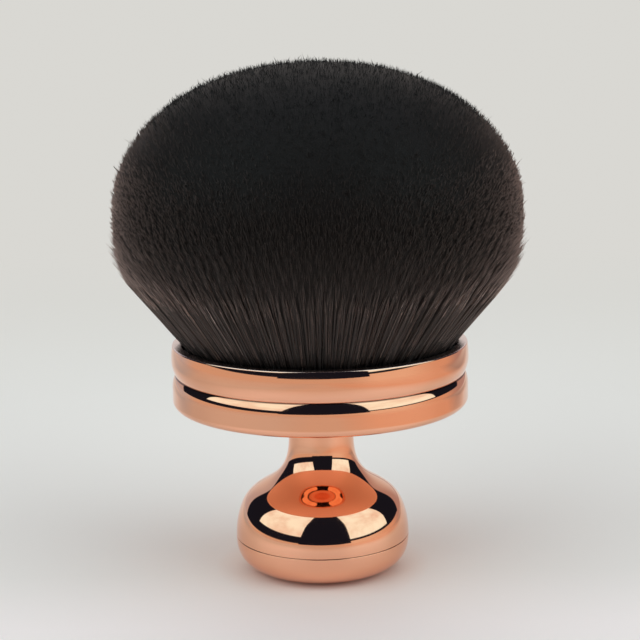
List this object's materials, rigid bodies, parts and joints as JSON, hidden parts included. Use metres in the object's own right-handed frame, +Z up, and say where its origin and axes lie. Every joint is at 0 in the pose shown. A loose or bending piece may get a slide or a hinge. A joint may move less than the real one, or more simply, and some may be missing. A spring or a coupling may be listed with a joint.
{
  "type": "powder brush",
  "caption": "Short round powder brush: a dense domed dark tuft in a wide two-band rose gold ferrule on a narrow neck and a round weighted knob.",
  "frame": {"origin": "centre of the knob's flat foot, on the surface that the brush stands on", "axes": "+Z up the brush's axis from the foot to the crown of the tuft; X and Y are free, because the brush is round"},
  "size_m": [0.074, 0.074, 0.0932],
  "materials": {
    "rose_gold_plating": "mirror-bright rose gold electroplate over moulded plastic",
    "plain_steel": "turned and zinc plated",
    "insert_brass": "turned",
    "black_moulding": "satin black moulding",
    "cured_glue": "cured epoxy, slightly glossy",
    "dark_fibre": "very fine tapered synthetic fibre, dark brown-black, soft"
  },
  "bodies": {
    "root": {"base_cap": "rose_gold_plating", "base_weight": "plain_steel", "handle_shell": "rose_gold_plating", "thread_insert": "insert_brass", "ferrule_shell": "rose_gold_plating", "screw_washer": "plain_steel", "ferrule_screw": "plain_steel", "tuft_cup": "black_moulding", "glue_plug": "cured_glue", "bristle_tuft": "dark_fibre"}
  },
  "joints": []
}
